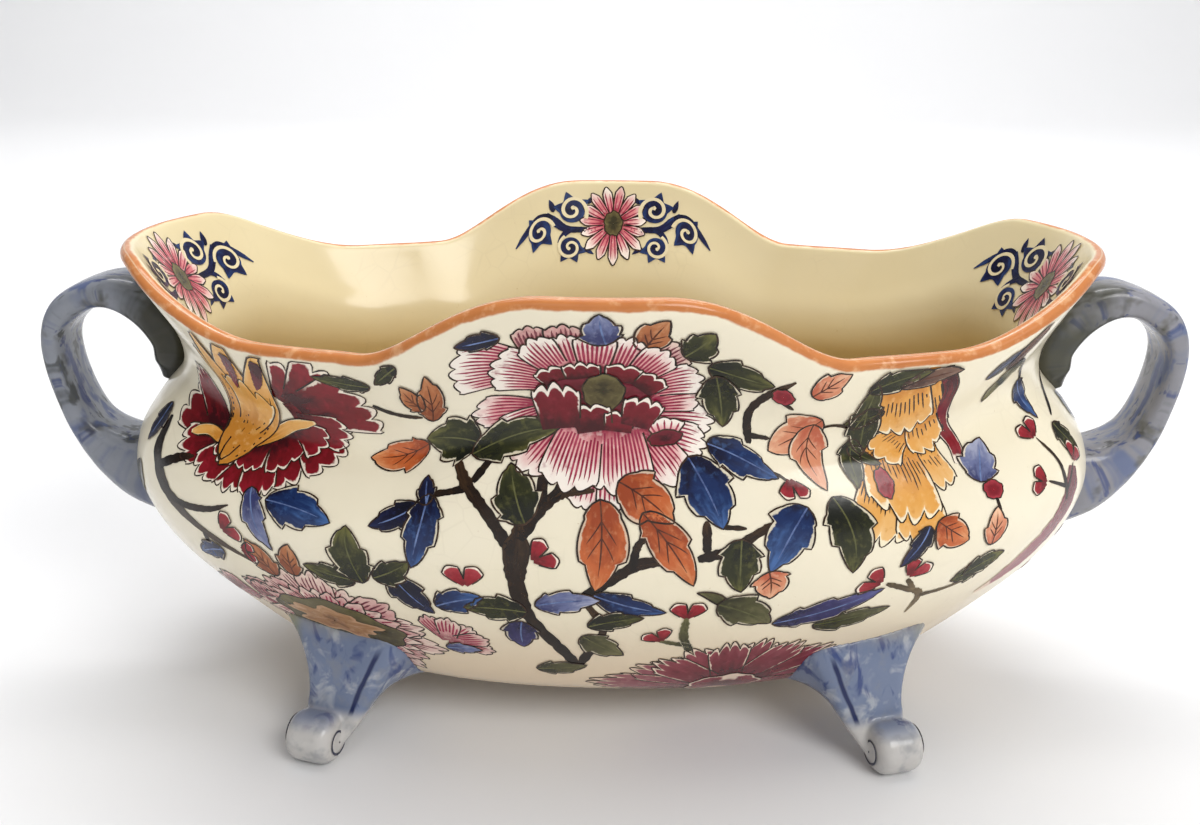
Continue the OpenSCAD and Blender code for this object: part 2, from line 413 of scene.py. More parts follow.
def sponged(name, colours, olive, shade, seed):
    """Brushed and sponged glaze of a handle, olive towards its curled end."""
    g = Glaze(name, roughness=0.24)
    along, across, _ = g.tag("strap")
    base = g.mix(g.noise(16, detail=4.0, seed=seed), colours[0], colours[1])
    streaks = g.wash(along, across, seed, 7.0, 1.2)
    base = g.mix(g.step(streaks, 0.50, 0.64, 0, 0.85), base, colours[2])
    base = g.mix(g.step(streaks, 0.44, 0.36, 0, 0.7), base, shade)
    fine = g.wash(along, across, seed + 1, 13.0, 2.6)
    base = g.mix(g.step(fine, 0.58, 0.68, 0, 0.75), base, colours[3])
    base = g.blots(base, olive, 13.0, 0.56, 0.72, seed + 2, 0.6)
    curl = g.fused(g.noise(20, seed=seed + 3), 0.30, along)
    dark = g.mix(g.noise(7, seed=seed + 4), olive, shade)
    base = g.mix(g.step(curl, 0.80, 0.96, 0, 0.95), base, dark)
    stroke = g.sum("ABSOLUTE", g.fused(g.noise(25, seed=seed + 5), 0.9,
                                       g.sum("SUBTRACT", across, 0.15)))
    line = g.step(stroke, 0.16, 0.05, 0, 0.8)
    where = g.times(g.step(along, 0.24, 0.30), g.step(along, 0.46, 0.40))
    base = g.mix(g.times(line, where), base, colours[3])
    return g.finish(base, bump=0.10, bump_size=12.0)


def foot_glaze(name, seed, olive_edge):
    """Pale blue-grey brushed glaze of a foot with dark blue lines on its corners."""
    g = Glaze(name, roughness=0.2)
    across, up, _ = g.tag("foot")
    base = g.mix(g.noise(14, detail=4.0, seed=seed), "#7b869e", "#5f6c88")
    base = g.blots(base, "#a9adb4", 9.0, 0.52, 0.68, seed + 1, 0.8, warp=0.5)
    base = g.blots(base, "#2f3f74", 8.0, 0.53, 0.66, seed + 2, 0.85,
                   stretch=(1, 1, 0.5), warp=0.7)
    toe = g.step(up, 21.0, 15.0)
    base = g.mix(g.times(toe, 0.85), base, "#cbc7c0")
    base = g.blots(base, "#83868c", 8.0, 0.52, 0.72, seed + 3, 0.5)
    corner = g.sum("ABSOLUTE", g.sum("SUBTRACT", across, g.fused(
        g.noise(30, seed=seed), 5.0, g.fused(up, -0.36, -9.0))))
    above = g.times(g.step(up, 17.0, 20.0), g.step(up, 46.0, 40.0))
    line = g.times(g.step(corner, 1.5, 0.5), above)
    base = g.mix(line, base, "#1b2550")
    olive = g.times(g.step(across, 9.0, 17.0), g.step(up, 18.0, 30.0, 0, olive_edge))
    base = g.mix(olive, base, "#6d7048")
    joint = g.step(g.fused(g.noise(12, seed=seed + 6), 8.0, up), 48.0, 58.0, 0, 0.35)
    base = g.mix(joint, base, "#b9ae8c")
    return g.finish(base, bump=0.12, bump_size=9.0)


def inked(name, code, other):
    """A thin brush line, a little paler where the brush ran dry."""
    g = Glaze(name)
    colour = g.mix(g.step(g.noise(4.0, seed=1.5), 0.35, 0.75), code, other)
    return g.finish(colour, bump=0.05)


# a paint, its material and its two colours
INKS = (
    ("line", "outline_ink", "#20120a", "#46301f"),
    ("warm_vein", "warm_vein_ink", "#4a2212", "#6b3a20"),
    ("green_vein", "green_vein_ink", "#62623a", "#45461f"),
    ("blue_vein", "blue_vein_ink", "#6d82b0", "#2f3f70"),
    ("bare", "bare_glaze", "#e6d8b3", "#e0d1a8"),
    ("stroke", "pink_ink", "#8e1f3c", "#ad4058"),
    ("dry_stroke", "brown_pink_ink", "#6a2c38", "#8a4a50"),
    ("navy_ink", "navy_ink", "#10102e", "#20264e"),
)
# the colours of a paint from base to tip, with a fourth for its edge, and what else
# brushed() is told
BRUSHED = {
    "bark": ("#120803 #231306 #463018", {}),
    "pale_bark": ("#4a3c26 #655338 #85724f", {}),
    "green": ("#121408 #2a2c10 #6c6a34", {"contour": 0.8}),
    "olive": ("#2d2c16 #4a4828 #77734a", {"contour": 0.6}),
    "blue": ("#080a2a #142a58 #446aa4", {"contour": 0.8}),
    "navy": ("#060618 #0e0f2c #26305c", {"contour": 0.6}),
    "scroll": ("#0b0a24 #15163c #243a6a", {"streak": 1.2}),
    "lilac": ("#363a66 #666e96 #a9adc4", {"contour": 0.8}),
    "purple": ("#17133a #2a2658 #5c5c94", {"contour": 0.6}),
    "orange": ("#98401a #c26230 #de9a66", {"contour": 0.6}),
    "rust": ("#864424 #ae683c #cf976a", {"contour": 0.6}),
    "peach": ("#bb5e40 #d68c68 #efc4a0", {"contour": 0.7}),
    "brown_pink": ("#432a22 #70503f #96796a", {"contour": 0.5}),
    "ochre": ("#c98230 #e2a24c #eec282 #f5e8c8", {"edge_from": 0.92, "streak": 0.6}),
    "flame": ("#c8842f #e8ab56 #f2cc88 #f5e4bc", {"edge_from": 0.95, "streak": 0.7}),
    "crimson": ("#3a020a #720a14 #98182a #f4e8d6", {"edge_from": 0.89, "streak": 0.7}),
    "lobe": ("#3e040a #6e0c1a #8e2032 #f8eee0", {"edge_from": 0.82, "streak": 0.5}),
    "dull_crimson": ("#4c1018 #74222e #964650 #ecd6c0", {"edge_from": 0.9, "streak": 0.7}),
    "faded_crimson": ("#642830 #8a4450 #b07c78 #e2c8b0", {"edge_from": 0.9}),
    "bud": ("#660a14 #921624 #b84048 #f4e4d2", {"streak": 0.6}),
    "berry": ("#8a1222 #7a101e #b03844", {"streak": 0.5}),
    "pink": ("#961838 #e09c9c #faf0e4", {"streak": 0.35, "reach": 0.42}),
    "daisy_pink": ("#8c1228 #d87c80 #f8ece0", {"streak": 0.3, "reach": 0.46}),
    "dusty_pink": ("#8a3a48 #cc908e #f0dcca", {"streak": 0.5}),
    "cup": ("#3a040c #64101e #7e2234", {"streak": 0.6}),
    "centre": ("#36301a #544a2a #756c42", {"streak": 1.2}),
    "tan": ("#7e5630 #a87a4e #c9a07a", {"streak": 1.6}),
}


def make_paints():
    paints = {key: inked(name, *codes) for key, name, *codes in INKS}
    for key, (codes, more) in BRUSHED.items():
        paints[key] = brushed(key + "_paint", *codes.split(), **more)
    return paints


# ------------------------------------------------------------- painting kit
LINE = 0.7           # width of an outline
GROUND_LIFT = 0.10   # height of the lowest layer of paint above the wall
LAYER_LIFT = 0.09    # each further layer stands this much higher
EDGE_OVER = 0.4      # layers from a patch up to its outline
VEIN_OVER = 0.35     # layers from a leaf up to its veins, or a petal to its outline
STROKE_OVER = 0.3    # layers from a petal up to its strokes
ALTERNATE = 0.7      # layers from a petal up to the next one beside it


class Motif:
    """Patches and brush lines drawn on the wall, which become one thin piece."""

    def __init__(self, name, inner=False):
        self.name, self.inner = name, inner
        self.points, self.faces, self.picks, self.tags = [], [], [], []
        self.used = []
        self.total = 0
        self.random = random.Random(name)

    def spread(self, spot, uv):
        return wall_map.spread(spot, uv, self.inner)

    def between(self, a, b):
        """Length in mm and aim in degrees from one place to another."""
        run = (np.array(b, float) - a) * wall_map.stretch_at(a, self.inner)
        return math.hypot(*run), math.degrees(math.atan2(run[1], run[0]))

    def patch(self, grid, paint, along, across, layer):
        """A grid of places, filled with one paint in one random tone."""
        n, m = grid.shape[:2]
        lift = GROUND_LIFT + LAYER_LIFT * layer
        points = wall_map.point(grid[..., 0], grid[..., 1], lift, self.inner).reshape(-1, 3)
        i, j = np.meshgrid(np.arange(n - 1), np.arange(m - 1), indexing="ij")
        a = (self.total + i * m + j).ravel()
        quads = np.stack([a, a + 1, a + m + 1, a + m], -1)
        d1, d2 = grid[-1, m // 2] - grid[0, m // 2], grid[n // 2, -1] - grid[n // 2, 0]
        turn = d2[0] * d1[1] - d2[1] * d1[0]
        if (turn < 0) != self.inner:
            quads = quads[:, ::-1]
        self.points.append(points)
        self.faces.append(quads)
        if paint not in self.used:
            self.used.append(paint)
        self.picks += [self.used.index(paint)] * len(quads)
        self.tags.append(np.stack([along.ravel(), across.ravel(),
                                   np.full(n * m, self.random.random())], -1))
        self.total += n * m

    def line(self, path, width, paint="line", layer=6, ends=(1.0, 1.0), shake=0.12):
        """A brush line along places, whose width may taper to either end."""
        path = np.asarray(path, float)
        n = len(path)
        way = np.gradient(path, axis=0)
        way = way / np.maximum(np.linalg.norm(way, axis=1, keepdims=True), 1e-6)
        normal = np.stack([-way[:, 1], way[:, 0]], -1)
        share = np.linspace(0, 1, n)
        body = np.minimum(1, np.minimum(ends[0] + share * 4, ends[1] + (1 - share) * 4))
        wobble = np.array([self.random.uniform(-1, 1) for _ in range(n)])
        half = np.asarray(width, float) / 2 * body * (1 + shake * wobble)
        offs = normal * half[:, None]
        grid = np.stack([path - offs, path, path + offs], 1)
        along = np.repeat(share[:, None], 3, 1)
        across = np.repeat(np.array([[-1.0, 0.0, 1.0]]), n, 0)
        self.patch(grid, paint, along, across, layer)

    def finish(self, paints):
        add_mesh(self.name, np.concatenate(self.points), np.concatenate(self.faces),
                 [paints[name] for name in self.used], self.picks,
                 {"paint": np.concatenate(self.tags)})


def heading(degrees):
    a = math.radians(degrees)
    return np.array([math.cos(a), math.sin(a)])


def bent_line(length, aim, bend, share):
    """Points along a curved centre line that starts at (0, 0), and its normals."""
    fine = np.linspace(0, 1, 81)
    angle = np.radians(aim + bend * (fine - 0.5))
    steps = np.stack([np.cos(angle), np.sin(angle)], -1) * length / 80
    run = np.concatenate([[(0, 0)], np.cumsum(steps[:-1], axis=0)])
    at = np.stack([np.interp(share, fine, run[:, k]) for k in (0, 1)], -1)
    turn = np.interp(share, fine, angle)
    return at, np.stack([-np.sin(turn), np.cos(turn)], -1)


VEINS = {"orange": "warm_vein", "rust": "warm_vein", "peach": "warm_vein",
         "brown_pink": "warm_vein", "green": "green_vein", "olive": "green_vein",
         "blue": "blue_vein", "lilac": "blue_vein", "navy": "blue_vein",
         "purple": "blue_vein"}


def leaf(m, spot, length, width, aim, paint, bend=18, teeth=3, layer=2, veins=2,
         outlined=True):
    """A pointed leaf with a toothed edge, placed by its middle."""
    rows, cols = 27, 2 * int(width / 4) + 5
    p = np.linspace(0, 1, rows)
    q = np.linspace(-1, 1, cols)
    bend = bend * m.random.choice((-1, 1))
    centre, normal = bent_line(length, aim, bend, p)
    shape = np.sin(math.pi * p ** 0.80) ** 0.7 * (1 - 0.35 * p ** 3)
    sides = []
    for _ in range(2):
        reach = m.random.uniform(0.88, 1.08)
        saw = (p * teeth + m.random.random()) % 1.0 if teeth else 0 * p
        bite = 0.34 * (saw - 0.35) * (p > 0.16) * (p < 0.93)
        sides.append(width / 2 * shape * reach * (1 + bite))
    half = np.where(q[None, :] < 0, sides[0][:, None], sides[1][:, None])
    middle = -heading(aim) * length / 2
    uv = middle + centre[:, None] + normal[:, None] * (q[None, :] * half)[..., None]
    grid = m.spread(spot, uv)
    along, across = np.repeat(p[:, None], cols, 1), np.repeat(q[None, :], rows, 0)
    m.patch(grid, paint, along, across, layer)
    if outlined:
        border = np.concatenate([grid[:, 0], grid[::-1, -1][1:]])
        m.line(border, LINE, "line", layer + EDGE_OVER)
    if veins:
        ink = VEINS[paint]
        m.line(grid[:int(rows * 0.84), cols // 2], 0.6, ink, layer + VEIN_OVER, (1, 0.2))
        for k in range(veins - 1):
            start = 0.22 + 0.5 * k / veins
            for side in (-1, 1):
                share = np.linspace(0, 1, 6)
                pp = start + 0.24 * share
                c, nrm = bent_line(length, aim, bend, pp)
                w = width / 2 * np.sin(math.pi * pp ** 0.8) ** 0.8 * 0.6 * share * side
                m.line(m.spread(spot, middle + c + nrm * w[:, None]), 0.5, ink,
                       layer + VEIN_OVER, (1, 0.1))


def petal(m, spot, length, base, tip, aim, paint, lobes=3, bend=0, strokes=0, layer=3,
          from_centre=0.0, stroke_paint="stroke", stroke_from=0.20, stroke_width=0.75,
          stroke_to=0.86, ruffle=0.10):
    """A petal that starts near spot and widens to a scalloped tip."""
    rows, cols = max(9, int(length / 2)), 6 * max(lobes, 1) + 1
    p = np.linspace(0, 1, rows)
    q = np.linspace(-1, 1, cols)
    scallop = np.abs(np.sin(lobes * math.pi * (q + 1) / 2)) ** 0.7
    top = 1 - 0.20 * q ** 2 - ruffle * (1 - scallop) * (abs(q) < 0.99)
    start = heading(aim) * from_centre

    def at(along, across):
        centre, normal = bent_line(length, aim, bend, along)
        half = (base + (tip - base) * ease(along ** 0.75)) / 2
        close = 1 - 0.25 * np.clip(along - 0.75, 0, 1) / 0.25
        return start + centre + normal * (across * half * close)[:, None]

    reach = p[:, None] * top[None, :]
    uv = np.stack([at(reach[:, j], np.full(rows, q[j])) for j in range(cols)], 1)
    grid = m.spread(spot, uv)
    m.patch(grid, paint, np.repeat(p[:, None], cols, 1),
            np.repeat(q[None, :], rows, 0), layer)
    border = np.concatenate([grid[rows // 4:, 0], grid[-1, 1:-1],
                             grid[rows // 4:, -1][::-1]])
    m.line(border, LINE * 0.9, "line", layer + VEIN_OVER)
    for k in range(strokes):
        across = -0.90 + 1.80 * (k + 0.5) / strokes
        low = max(0.02, stroke_from + m.random.uniform(-0.06, 0.06))
        high = stroke_to + m.random.uniform(-0.12, 0.05)
        share = np.linspace(low, high, 9) * (1 - 0.20 * across ** 2)
        m.line(m.spread(spot, at(share, np.full(9, across))), stroke_width, stroke_paint,
               layer + STROKE_OVER, (0.9, 0.15))


def ribbon(m, places, width, paint, layer, ends=(0.5, 0.3)):
    """A long narrow petal along places, edged with a dark line."""
    places = np.asarray(places, float)
    n = len(places) - 1
    path = spline(places, np.linspace(0, n, 8 * n + 1))
    m.line(path, width + 1.3, "line", layer, ends, 0)
    m.line(path, width, paint, layer + 0.5, ends, 0)


def disc(m, spot, half_wide, half_high, paint, layer=5, tilt=0.0, outlined=True,
         dent=0.05):
    """A rough oval filled from its middle."""
    rings, count = int(half_wide / 2.5) + 4, max(28, int(half_wide * 2.5))
    r = np.linspace(0.02, 1, rings)
    a = np.linspace(0, TAU, count)
    wave = 1 + dent * np.sin(5 * a + 1) + dent * np.sin(9 * a)
    wave[-1] = wave[0]
    x = r[:, None] * np.cos(a) * half_wide * wave
    y = r[:, None] * np.sin(a) * half_high * wave
    c, s = heading(tilt)
    grid = m.spread(spot, np.stack([c * x - s * y, s * x + c * y], -1))
    m.patch(grid, paint, np.repeat(r[:, None], count, 1),
            np.repeat(np.sin(a)[None, :], rings, 0), layer)
    if outlined:
        m.line(grid[-1], LINE * 0.8, "line", layer + EDGE_OVER)


def moved(s, places):
    """The same places further round the bowl."""
    return [(s + x, t) for x, t in places]


def branch(m, places, widths, paint="bark", layer=1, knots=0.14):
    """A brushed branch through places, with a knobbly edge."""
    places = np.asarray(places, float)
    n = len(places) - 1
    u = np.linspace(0, n, 10 * n + 1)
    width = np.interp(u, np.linspace(0, n, len(widths)), widths)
    m.line(spline(places, u), width, paint, layer, (0.6, 0.35), knots)


def branches(m, s, rows, *style):
    """Branches listed as their places and their widths."""
    for places, widths in rows:
        branch(m, moved(s, places), widths, *style)


def buds(m, s, rows):
    """Buds listed as their place, size and aim."""
    for x, t, size, aim in rows:
        bud(m, (s + x, t), size, aim)


def bud(m, spot, size, aim, layer=3):
    """Two small crimson petals side by side, edged in white."""
    for side in (-1, 1):
        petal(m, spot, size, size * 0.25, size * 0.75, aim + side * 32, "bud", 1,
              side * -20, layer=layer, ruffle=0.02)


# ---------------------------------------------------------- painted flowers
def petals_of(m, s, paint, rows, spacing=0.0, **more):
    """Petals listed as their root and tip places, root and tip widths, lobes and
    layer, with strokes every spacing millimetres."""
    for s0, t0, s1, t1, base, tip, lobes, layer in rows:
        length, aim = m.between((s0, t0), (s1, t1))
        petal(m, (s + s0, t0), length, base, tip, aim, paint, lobes, m.random.uniform(-8, 8),
              int(tip / spacing) if spacing else 0, layer, **more)


def great_peony(m, s):
    """The pink peony in the middle: striped petals round a crimson cup."""
    petals_of(m, s, "dusty_pink", (
        (-20, 190, -21, 202, 9, 13, 3, 0), (-10, 190, -11, 203, 10, 14, 3, 0.7),
        (9, 186, 15, 198, 8, 14, 3, 0), (14, 182, 25, 194, 8, 14, 3, 0.7)),
        1.6, stroke_paint="dry_stroke", stroke_from=0.3)
    petals_of(m, s, "pink", (
        (-4, 142, -8, 127, 9, 12, 2, 0), (3, 142, 3, 126, 9, 11, 2, 0.7),
        (9, 142, 13, 128, 9, 11, 2, 0), (-24, 183, -50, 193, 15, 25, 4, 0),
        (-20, 163, -48, 168, 8, 15, 3, 0.7), (13, 160, 40, 163, 8, 15, 3, 0),
        (13, 156, 38, 152, 9, 15, 3, 0.7), (-16, 163, -40, 154, 8, 16, 3, 1.4),
        (-14, 160, -31, 141, 12, 20, 3, 2.1), (10, 157, 26, 136, 12, 21, 3, 1.4),
        (-7, 158, -14, 133, 14, 22, 3, 2.8), (4, 159, 6, 132, 16, 25, 4, 2.1),
        (13, 166, 33, 173, 8, 14, 3, 1.4), (13, 173, 33, 182, 9, 15, 3, 2.1),
        (9, 178, 20, 192, 9, 15, 3, 2.8), (4, 181, 9, 198, 9, 14, 3, 2.1),
        (-3, 182, -2, 200, 9, 15, 3, 2.8), (-9, 183, -12, 199, 8, 13, 3, 2.1),
        (-13, 181, -22, 197, 9, 15, 3, 2.8), (-15, 177, -37, 187, 13, 21, 4, 2.1)),
        1.75)
    disc(m, (s - 3, 171), 19.5, 13.5, "cup", 3.5, 0, False, 0.03)
    petals_of(m, s, "lobe", (
        (-14, 175, -18, 184, 9, 12, 2, 4.2), (-6, 177, -7, 187, 11, 13, 3, 4.9),
        (5, 177, 7, 186, 10, 13, 2, 4.2), (12, 173, 18, 180, 9, 12, 2, 4.9)),
        ruffle=0.2)
    disc(m, (s - 4, 174), 13, 5.0, "cup", 5.6, 0, False)
    disc(m, (s, 172.5), 7.0, 8.6, "centre", 6.3, dent=0.03)
    petals_of(m, s, "lobe", (
        (-3, 155, -5, 167, 12, 14, 2, 6.8), (5, 155, 6, 164, 9, 11, 2, 7.0),
        (-15, 156, -16, 177, 13, 17, 3, 7.6), (11, 157, 15, 170, 10, 15, 3, 7.6)),
        ruffle=0.2)
    mouth = (s + 22, 153)
    petal(m, mouth, 8, 7, 15, 95, "pink", 3, 0, 5, 5)
    disc(m, mouth, 6.0, 2.8, "cup", 6, 15)


def flame(m, root, tip, width, layer):
    """An upright ochre petal that tapers to a point, with a line up its middle."""
    length, aim = m.between(root, tip)
    middle = m.spread(root, heading(aim) * length / 2)
    leaf(m, tuple(middle), length, width, aim, "flame", 24, 0, layer, 0)
    inner = bent_line(length * 0.62, aim, 6, np.linspace(0, 1, 9))[0]
    m.line(m.spread(root, inner + heading(aim) * 4), 0.6, "line", layer + VEIN_OVER,
           (0.3, 0.1))


def flame_peony(m, s):
    """The crimson peony at the left, with ochre flame petals in its middle."""
    petals_of(m, s, "crimson", (
        (-124, 180, -107, 204, 12, 19, 3, 0), (-120, 180, -94, 204, 12, 20, 3, 0.7),
        (-120, 178, -83, 189, 15, 27, 4, 1.4), (-126, 174, -98, 176, 10, 19, 3, 0.7),
        (-160, 148, -190, 152, 12, 22, 3, 0), (-164, 150, -186, 168, 9, 16, 3, 0.7),
        (-154, 146, -178, 134, 10, 18, 3, 0.7), (-148, 147, -162, 127, 10, 17, 3, 1.4),
        (-143, 150, -146, 124, 10, 16, 3, 0.7), (-139, 152, -129, 124, 10, 16, 3, 1.4),
        (-134, 158, -115, 136, 10, 17, 3, 0.7), (-128, 164, -103, 150, 10, 19, 4, 1.4),
        (-124, 170, -101, 164, 9, 16, 3, 2.1), (-150, 149, -155, 136, 8, 13, 3, 2.8),
        (-142, 151, -140, 136, 9, 13, 3, 2.1), (-134, 157, -124, 142, 9, 14, 3, 2.8),
        (-127, 165, -112, 156, 8, 14, 3, 3.5)), ruffle=0.16)
    ribbon(m, moved(s, ((-148, 147), (-138, 156), (-128, 166), (-116, 171))),
           6.0, "flame", 4.2)
    ribbon(m, moved(s, ((-157, 145), (-166, 146), (-174, 142))), 4.0, "flame", 4.2)
    for x, t, width, layer in ((-158, 190, 12, 4.9), (-150, 201, 15, 5.4),
                               (-118, 202, 16, 5.4), (-134, 205, 20, 4.9)):
        flame(m, (s - 153, 146), (s + x, t), width, layer)
    petals_of(m, s, "flame", ((-153, 147, -139, 190, 8, 23, 3, 6.4),), ruffle=0.22)
    branches(m, s, ((((-138, 204), (-142, 193), (-148, 180)), (5, 4, 1.5)),
                    (((-124, 205), (-129, 195), (-134, 187)), (5, 4, 1.5))), "cup", 7.6)


def ochre_peony(m, s):
    """The layered ochre peony at the right, with a crimson ribbon petal."""
    ribbon(m, moved(s, ((117, 207), (126, 196), (130, 184), (137, 168), (144, 154),
                        (140, 145))), 5.0, "crimson", 0, (0.9, 0.4))
    petals_of(m, s, "ochre", (
        (111, 207, 137, 158, 8, 13, 4, 0), (110, 150, 95, 112, 14, 26, 4, 0),
        (117, 146, 114, 109, 13, 22, 4, 0.7), (129, 163, 128, 135, 11, 16, 3, 1.4),
        (119, 169, 108, 121, 17, 28, 4, 2.1), (122, 180, 134, 153, 10, 15, 3, 3.5),
        (121, 172, 108, 154, 11, 17, 3, 2.8), (104, 204, 119, 167, 15, 22, 4, 4.2)),
        2.0, stroke_paint="line", stroke_from=0.36, stroke_width=0.5, stroke_to=0.60, ruffle=0.13)
    disc(m, (s + 106, 142), 3.2, 6.0, "berry", 5, -15)
    for x, t, size, wide, aim, paint in (
            (95, 188, 22, 9, 95, "green"), (99, 172, 22, 11, 285, "green"),
            (96, 154, 20, 8, 262, "green"), (103, 157, 14, 5, 325, "green"),
            (103, 202, 22, 10, 20, "green"), (115, 202, 22, 8, 15, "brown_pink"),
            (97, 182, 14, 8, 200, "green")):
        leaf(m, (s + x, t), size, wide, aim, paint, 26, 2, 5.6, 1)


def open_peony(m, s):
    """The wide pink flower low on the left, seen from above its centre."""
    c = (s - 118, 64)
    count = 15
    for k in range(count):
        aim = 360 * k / count + 8
        reach = 35 - 7 * abs(math.sin(math.radians(aim)))
        petal(m, c, reach + 3 * math.sin(k * 2.3), 8, 16, aim, "dusty_pink", 3, 0, 8,
              ALTERNATE * (k % 2), from_centre=4, stroke_from=0.6, stroke_paint="dry_stroke")
    count = 26
    for k in range(count):
        aim = 360 * k / count
        reach = 31 - 10 * abs(math.sin(math.radians(aim)))
        petal(m, c, reach, 4, 7.5, aim, "dusty_pink", 1, 0, 4,
              1.5 + ALTERNATE * (k % 2), from_centre=2, stroke_from=0.7)
    disc(m, c, 25, 16, "centre", 3, -6)
    disc(m, (c[0] - 2, c[1] + 1), 17, 9, "tan", 3.7, -6, False, 0.14)
    spray = (s - 68, 62)
    for k, aim in enumerate((340, 10, 40, 70, 100)):
        petal(m, spray, 17, 5, 10, aim, "dusty_pink", 3, 0, 6, ALTERNATE * (k % 2),
              stroke_from=0.35)
    for k, (x, aim) in enumerate(((-160, 120), (-150, 80), (-164, 160), (-143, 100))):
        petal(m, (s + x, 66), 18, 8, 14, aim, "dusty_pink", 3, 0, 7, 0.4 + ALTERNATE * (k % 2),
              stroke_from=0.4, stroke_paint="dry_stroke")


def low_peony(m, s):
    """The crimson flower that runs under the belly at the right."""
    c = (s + 66, 32)
    for paint, layer, ruffle, rows in (
            ("faded_crimson", 0, 0.16, (
                (6, 54, 18), (174, 52, 17), (24, 46, 19), (156, 42, 18), (190, 34, 16),
                (350, 34, 16), (215, 24, 15), (240, 24, 15), (265, 24, 15), (290, 24, 15),
                (320, 24, 15))),
            ("dull_crimson", 1.5, 0.17, (
                (40, 40, 18), (62, 35, 16), (84, 34, 16), (106, 34, 16), (128, 36, 17),
                (146, 38, 15)))):
        for k, (aim, size, wide) in enumerate(rows):
            petal(m, c, size, 10, wide, aim, paint, 4, layer=layer + ALTERNATE * (k % 2),
                  from_centre=4, ruffle=ruffle)
    disc(m, c, 14, 10, "dull_crimson", 3.2, 0)


def daisy(m, spot, size):
    """A small pink flower with an olive centre, drawn inside the bowl."""
    count = 15
    for k in range(count):
        aim = 360 * k / count + 6
        reach = (0.84 + 0.16 * abs(math.sin(math.radians(aim)))
                 + 0.06 * math.sin(3.1 * k))
        petal(m, spot, size * reach, size * 0.14, size * 0.30, aim, "daisy_pink", 1, 0, 2,
              2 + ALTERNATE * (k % 2), from_centre=size * 0.12, stroke_from=0.25,
              stroke_width=0.6, ruffle=0.02)
    disc(m, spot, size * 0.27, size * 0.36, "centre", 4)


def volute(m, spot, size, cusps, opens, way):
    """A navy shape with pointed cusps and a bare spiral left open in it.

    cusps and opens are angles in degrees, and way is the turn of the spiral.
    """
    r = np.linspace(0.02, 1, 6)
    a = np.linspace(0, TAU, 73)
    reach = np.full(a.shape, 0.92)
    for cusp in np.radians(cusps):
        off = (a - cusp + math.pi) % TAU - math.pi
        reach += 0.55 * np.maximum(0, 1 - abs(off) / 0.50) ** 1.6
    uv = (r[:, None] * reach * size)[..., None] * np.stack([np.cos(a), np.sin(a)], -1)
    m.patch(m.spread(spot, uv), "scroll", np.repeat(r[:, None], len(a), 1),
            np.repeat(np.cos(a)[None, :], len(r), 0), 2)
    share = np.linspace(0, 1, 46)
    inward = size * (1.16 - 0.98 * share ** 0.85)
    turn = math.radians(opens) + way * TAU * 1.3 * share
    path = np.stack([inward * np.cos(turn), inward * np.sin(turn)], -1)
    m.line(m.spread(spot, path), size * (0.26 - 0.06 * share), "bare", 3.4, (1, 1), 0.03)
    disc(m, tuple(m.spread(spot, path[-1])), size * 0.15, size * 0.15, "bare", 3.4, 0, False)


def arabesque(m, s, t, way):
    """Volutes and pointed leaves that spring from one side of the daisy."""
    def put(u, v):
        return tuple(m.spread((s, t), (way * u, v)))

    def turned(degrees):
        return degrees if way > 0 else 180 - degrees

    def sweep(points, widths):
        branch(m, [put(*p) for p in points], widths, "scroll", 2, 0.03)

    for u, v, size, cusps, opens in ((20.5, 7, 6.8, (75, 150, 20), 215),
                                     (21, -11, 5.6, (200, 310, 250), 70),
                                     (36.5, 0, 6.4, (60, 235, 300), 175)):
        volute(m, put(u, v), size, [turned(c) for c in cusps], turned(opens), -way)
    sweep(((8, -3), (15, -3), (23, -2), (29, 3), (33, 8)), (2.2, 3.0, 3.6, 4.0, 2.4))
    sweep(((15, -3), (22, -3), (27, -8)), (2.4, 3.2, 2.2))
    sweep(((30, 5), (37, 7), (43, 3), (49, -2)), (3.4, 3.6, 3.2, 2.2))
    for u, v, size, aim in ((31, 11, 7, 75), (11, 12, 6, 140), (12, -13, 6, 215)):
        leaf(m, put(u, v), size, size * 0.45, turned(aim), "scroll", 8, 0, 2, 0, False)


# ---------------------------------------------------------- painted layout
def leaves_of(m, s, rows):
    """Leaves listed as their middle, length, width, aim and paint."""
    for x, t, length, width, aim, paint in rows:
        warm = VEINS[paint] == "warm_vein"
        leaf(m, (s + x, t), length, width, aim, paint, veins=3 if warm else 1,
             teeth=2 if warm else 3, layer=2 + 0.8 * m.random.randrange(3))


MIDDLE_LEAVES = (
    (-80, 157, 23, 11, 192, "orange"), (-60, 184, 20, 12, 75, "rust"),
    (-66, 188, 14, 8, 110, "rust"), (-57, 159, 22, 16, 160, "green"),
    (-32, 153, 32, 15, 10, "green"), (-30, 133, 23, 15, 105, "green"),
    (-64, 138, 11, 7, 100, "navy"), (-75, 126, 19, 10, 205, "navy"),
    (-66, 119, 28, 13, 258, "blue"), (-2, 113, 36, 18, 267, "orange"),
    (15, 130, 24, 17, 322, "orange"), (23, 112, 34, 15, 303, "orange"),
    (36, 134, 27, 18, 295, "blue"), (51, 149, 27, 13, 345, "blue"),
    (66, 118, 28, 17, 240, "blue"), (-13, 89, 24, 11, 8, "lilac"),
    (10, 89, 28, 11, 342, "blue"), (49, 106, 22, 16, 275, "green"),
    (87, 119, 29, 18, 282, "green"), (60, 97, 13, 13, 282, "peach"),
    (-41, 84, 23, 14, 178, "green"), (-33, 70, 17, 14, 262, "purple"),
    (5, 79, 21, 10, 15, "green"), (0, 64, 20, 12, 320, "olive"))
